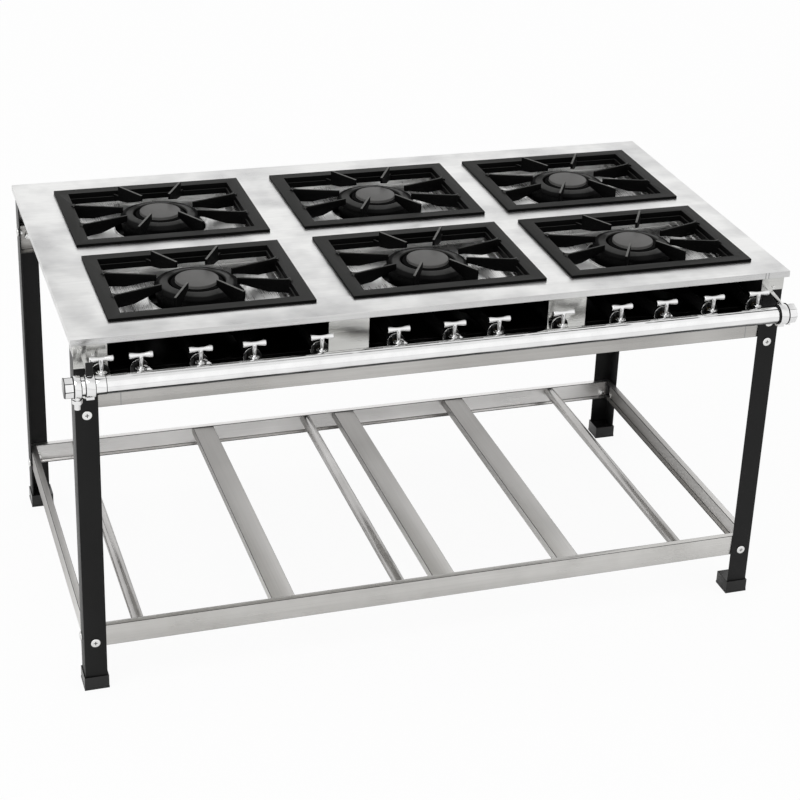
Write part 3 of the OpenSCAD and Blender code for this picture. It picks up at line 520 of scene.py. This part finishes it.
# The long rails above, and the shelf's rails and slats here, take painted shade on their rounded
# edges.
dress("shelf_front_rail", frame_steel_x, 0.0009, edge=painted_edge_shade)
dress("shelf_rear_rail", shelf_rear_steel, 0.0009, edge=painted_edge_shade)
for n in ("shelf_side_rails", "shelf_wide_slats"):
    dress(n, frame_steel_y, 0.0011, edge=painted_edge_shade)
dress("shelf_tube_slats", tube_steel, 0.0009)
dress("side_walls", firebox)
dress("burner_bars", firebox)
for n in ("leg_front_left", "leg_front_right", "leg_rear_left", "leg_rear_right"):
    dress(n, leg_black, 0.0008)
dress("feet", foot_plastic, 0.0015, 3)
for n in ("drip_tray_left", "drip_tray_middle", "drip_tray_right"):
    dress(n, dark_steel_and_rail_shade, other=frame_steel_x, where=lower_faces)
for n in ("spill_pans_left", "spill_pans_middle", "spill_pans_right"):
    dress(n, pan_steel, 0.0004)
dress("burner_bodies", burner_iron, 0.001)
dress("burner_crowns", lid_iron, 0.0008)
dress("burner_caps", cap_grey, 0.0008, other=soot_and_recess_shade, where=cap_sides)
dress("mixing_tubes", burner_iron, 0.0008)
dress("air_shutters", shutter_black, other=zinc, where=disc_rims)
# The chrome fittings' rounded edges are painted dark as shade.
dress("pipe_cap", cap_chrome, 0.0009, edge=rubber_and_painted_shade)
for n in ("pipe_end_fitting", "inlet_tee", "pipe_clamps"):
    dress(n, chrome_plate, 0.0008, edge=rubber_and_painted_shade)
dress("manifold_pipe", pipe_chrome)
# The valve bodies are chrome: their upward faces show it, and their other faces carry a painted
# dark reflection.
dress("valve_bodies", shutter_black, other=chrome_plate, where=upper_faces)
dress("pipe_tab", shutter_black)
dress("injectors", brass, 0.0003)
dress("leg_bolts", zinc, other=soot_and_recess_shade, where=bolt_cut_shade)
dress("plate_screws", zinc, 0.0003)
for i in range(1, 7):
    dress(f"grate_{i}", grate_iron, 0.0010)
for i in range(1, 14):
    dress(f"valve_handle_{i}", chrome_plate)


def piece(name, bm, material, width):
    """A mesh as an object of the stove's own body, smooth with rounded edges."""
    mesh = bpy.data.meshes.new(name)
    bmesh.ops.recalc_face_normals(bm, faces=bm.faces)
    for f in bm.faces:
        f.smooth = True
    bm.to_mesh(mesh)
    bm.free()
    mesh.materials.append(material)
    obj = link(bpy.data.objects.new(name, mesh))
    round_edges(obj, width)
    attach(obj, "stove")


def pipe_rings():
    """Black washers and painted shade of thread gaps, where the fittings meet on the pipe."""
    bm = bmesh.new()
    for x, half, outer in RINGS:
        profile = ((RING_INNER, -half), (outer - half / 2, -half), (outer, -half / 3),
                   (outer, half / 3), (outer - half / 2, half), (RING_INNER, half))
        base = PIPE_CENTRE + Vector((x, 0, 0))
        loops = []
        for a in range(RING_SIDES):
            angle = 2 * math.pi * a / RING_SIDES
            out = Vector((0, math.cos(angle), math.sin(angle)))
            loops.append([bm.verts.new(base + out * r + Vector((d, 0, 0))) for r, d in profile])
        sides = len(profile)
        for a in range(RING_SIDES):
            here, there = loops[a], loops[(a + 1) % RING_SIDES]
            for k in range(sides):
                j = (k + 1) % sides
                bm.faces.new((here[k], here[j], there[j], there[k]))
    piece("pipe_rings", bm, rubber_and_painted_shade, 0.0001)


def shutter_tabs():
    """Bright bent tabs on the air shutters that stand half open."""
    inner = TAB_OUTLINE[0][0]
    sides = len(TAB_OUTLINE)
    for n in TAB_VALVES:
        low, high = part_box(f"valve_handle_{n}")
        x = (low[0] + high[0]) / 2
        bm = bmesh.new()
        front = [bm.verts.new((x + dx, TAB_BACKING - TAB_PROUD + TAB_LEAN * (dx - inner), z))
                 for dx, z in TAB_OUTLINE]
        rear = [bm.verts.new((v.co.x, v.co.y + TAB_THICK, v.co.z)) for v in front]
        bm.faces.new(front)
        bm.faces.new(list(reversed(rear)))
        for k in range(sides):
            j = (k + 1) % sides
            bm.faces.new((front[j], front[k], rear[k], rear[j]))
        piece(f"shutter_tab_{n}", bm, chrome_plate, 0.0003)


def floor():
    """A white floor.

    Most of what the camera sees of it is plain white, and the rest is the floor's own colour,
    which keeps the stove's shadow.
    """
    mesh = bpy.data.meshes.new("floor")
    s = FLOOR_HALF
    mesh.from_pydata([(-s, -s, 0), (s, -s, 0), (s, s, 0), (-s, s, 0)], [], [(0, 1, 2, 3)])
    obj = link(bpy.data.objects.new("floor", mesh))
    m = Mat("floor_white")
    m.set(Base_Color=m.mix(m.noise(3, 2, 0.5), grey(0.87), grey(0.89)), Roughness=0.9,
          Specular_IOR_Level=0.0)
    ray = m.tree.nodes.new("ShaderNodeLightPath").outputs
    share = m.add(m.times(ray["Is Camera Ray"], FLOOR_CAMERA_WHITE),
                  m.times(ray["Is Glossy Ray"], FLOOR_GLOSSY_WHITE))
    mix_shaders(m.tree, share, m.shader.outputs[0], plain_white(m.tree, "ShaderNodeEmission"),
                m.tree.nodes["Material Output"].inputs["Surface"])
    mesh.materials.append(m.mat)


def lamp(name, size, power, place, target):
    data = bpy.data.lights.new(name, "AREA")
    data.shape = "RECTANGLE"
    data.size, data.size_y = size
    data.energy = power
    obj = link(bpy.data.objects.new(name, data))
    obj.location = place
    obj.rotation_euler = (Vector(target) - Vector(place)).to_track_quat("-Z", "Y").to_euler()


def world():
    """A studio of white cloth, a little dimmer overhead. The camera sees plain white."""
    w = bpy.data.worlds.new("studio")
    scene.world = w
    w.use_nodes = True
    tree = w.node_tree
    sky = tree.nodes["Background"]
    coord = tree.nodes.new("ShaderNodeTexCoord").outputs["Generated"]
    to_rear = separate(tree, coord, "Y")
    overhead = map_range(tree, to_rear, -0.75, -0.1, 1.0, OVERHEAD_LIGHT, "SMOOTHSTEP")
    around = map_range(tree, to_rear, -0.5, 0.5, 1.0, REAR_LIGHT, "SMOOTHSTEP")
    strength = map_range(tree, separate(tree, coord, "Z"), 0.45, 0.95, around, overhead,
                         "SMOOTHSTEP")
    tree.links.new(strength, sky.inputs["Strength"])
    sky.inputs["Color"].default_value = (1, 1, 1, 1)
    ray = tree.nodes.new("ShaderNodeLightPath").outputs
    mix_shaders(tree, ray["Is Camera Ray"], sky.outputs[0],
                plain_white(tree, "ShaderNodeBackground"),
                tree.nodes["World Output"].inputs["Surface"])


def camera():
    """The photograph's view: from the front left, looking down, and turned a little."""
    data = bpy.data.cameras.new("camera")
    obj = link(bpy.data.objects.new("camera", data))
    data.sensor_width = 36.0
    data.lens = 88.22
    data.shift_x = -0.0755
    data.shift_y = -0.0692
    azimuth, elevation, roll = (math.radians(a) for a in (20.256, 25.167, 3.007))
    obj.matrix_world = (Matrix.Translation(Vector((-1.21589, -3.77317, 2.38732)) + SHIFT)
                        @ Matrix.Rotation(-azimuth, 4, "Z")
                        @ Matrix.Rotation(math.pi / 2 - elevation, 4, "X")
                        @ Matrix.Rotation(roll, 4, "Z"))
    scene.camera = obj


pipe_rings()
shutter_tabs()
camera()
floor()
world()
lamp("key", size=(3.0, 2.4), power=40, place=(-2.4, -1.6, 3.8), target=(0, 0, 0.5))
